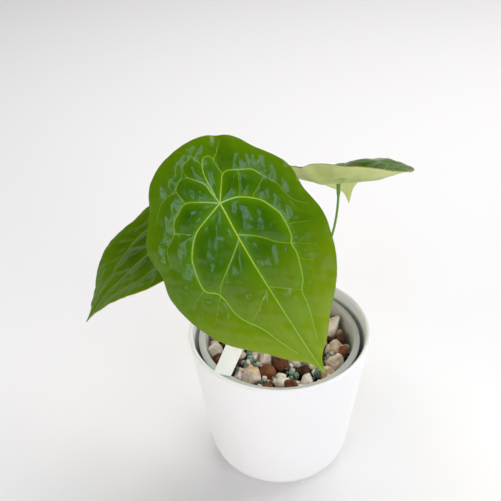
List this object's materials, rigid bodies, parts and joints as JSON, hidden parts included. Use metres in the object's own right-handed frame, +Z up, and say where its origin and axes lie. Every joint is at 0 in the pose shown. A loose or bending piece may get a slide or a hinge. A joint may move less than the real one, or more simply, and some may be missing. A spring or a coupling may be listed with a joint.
{
  "type": "potted anthurium",
  "caption": "Small rosette plant with shield-shaped leaves on thin stalks, in a liner pot of mineral mix inside a tapered white cover pot, with a blank label.",
  "frame": {"origin": "centre of the cover pot's flat underside, on the surface it stands on", "axes": "+Z up; -Y is the side that the largest leaf faces; +X to its right seen from the front"},
  "size_m": [0.228, 0.2132, 0.2706],
  "materials": {
    "cover_pot": "satin white, moulded",
    "liner": "light grey, moulded",
    "mix": "dark loose mineral mix",
    "fired_clay": "matt, porous, reddish brown",
    "pumice": "matt, porous, cream with tan stains",
    "zeolite": "matt, green",
    "label": "smooth white, blank",
    "stem": "living green stem, satin",
    "leaf": "living leaf: glossy green with paler veins above, light green below",
    "dry_sheath": "dry papery sheath, tan"
  },
  "bodies": {
    "root": {"cataphyll_01": "dry_sheath", "cataphyll_02": "dry_sheath", "crown_stem": "stem", "front_leaf_blade": "leaf", "front_leaf_petiole": "stem", "leca_ball_01": "fired_clay", "leca_ball_02": "fired_clay", "leca_ball_03": "fired_clay", "leca_ball_04": "fired_clay", "leca_ball_05": "fired_clay", "leca_ball_06": "fired_clay", "leca_ball_07": "fired_clay", "leca_ball_08": "fired_clay", "leca_ball_09": "fired_clay", "leca_ball_10": "fired_clay", "leca_ball_11": "fired_clay", "leca_ball_12": "fired_clay", "leca_ball_13": "fired_clay", "leca_ball_14": "fired_clay", "leca_ball_15": "fired_clay", "leca_ball_16": "fired_clay", "leca_ball_17": "fired_clay", "left_leaf_blade": "leaf", "left_leaf_petiole": "stem", "liner_pot": "liner", "outer_pot": "cover_pot", "plant_label": "label", "pumice_01": "pumice", "pumice_02": "pumice", "pumice_03": "pumice", "pumice_04": "pumice", "pumice_05": "pumice", "pumice_06": "pumice", "pumice_07": "pumice", "pumice_08": "pumice", "pumice_09": "pumice", "pumice_10": "pumice", "pumice_11": "pumice", "pumice_12": "pumice", "pumice_13": "pumice", "pumice_14": "pumice", "pumice_15": "pumice", "pumice_16": "pumice", "right_leaf_blade": "leaf", "right_leaf_petiole": "stem", "substrate_bed": "mix", "zeolite_chip_01": "zeolite", "zeolite_chip_02": "zeolite", "zeolite_chip_03": "zeolite", "zeolite_chip_04": "zeolite", "zeolite_chip_05": "zeolite", "zeolite_chip_06": "zeolite", "zeolite_chip_07": "zeolite", "zeolite_chip_08": "zeolite"}
  },
  "joints": []
}
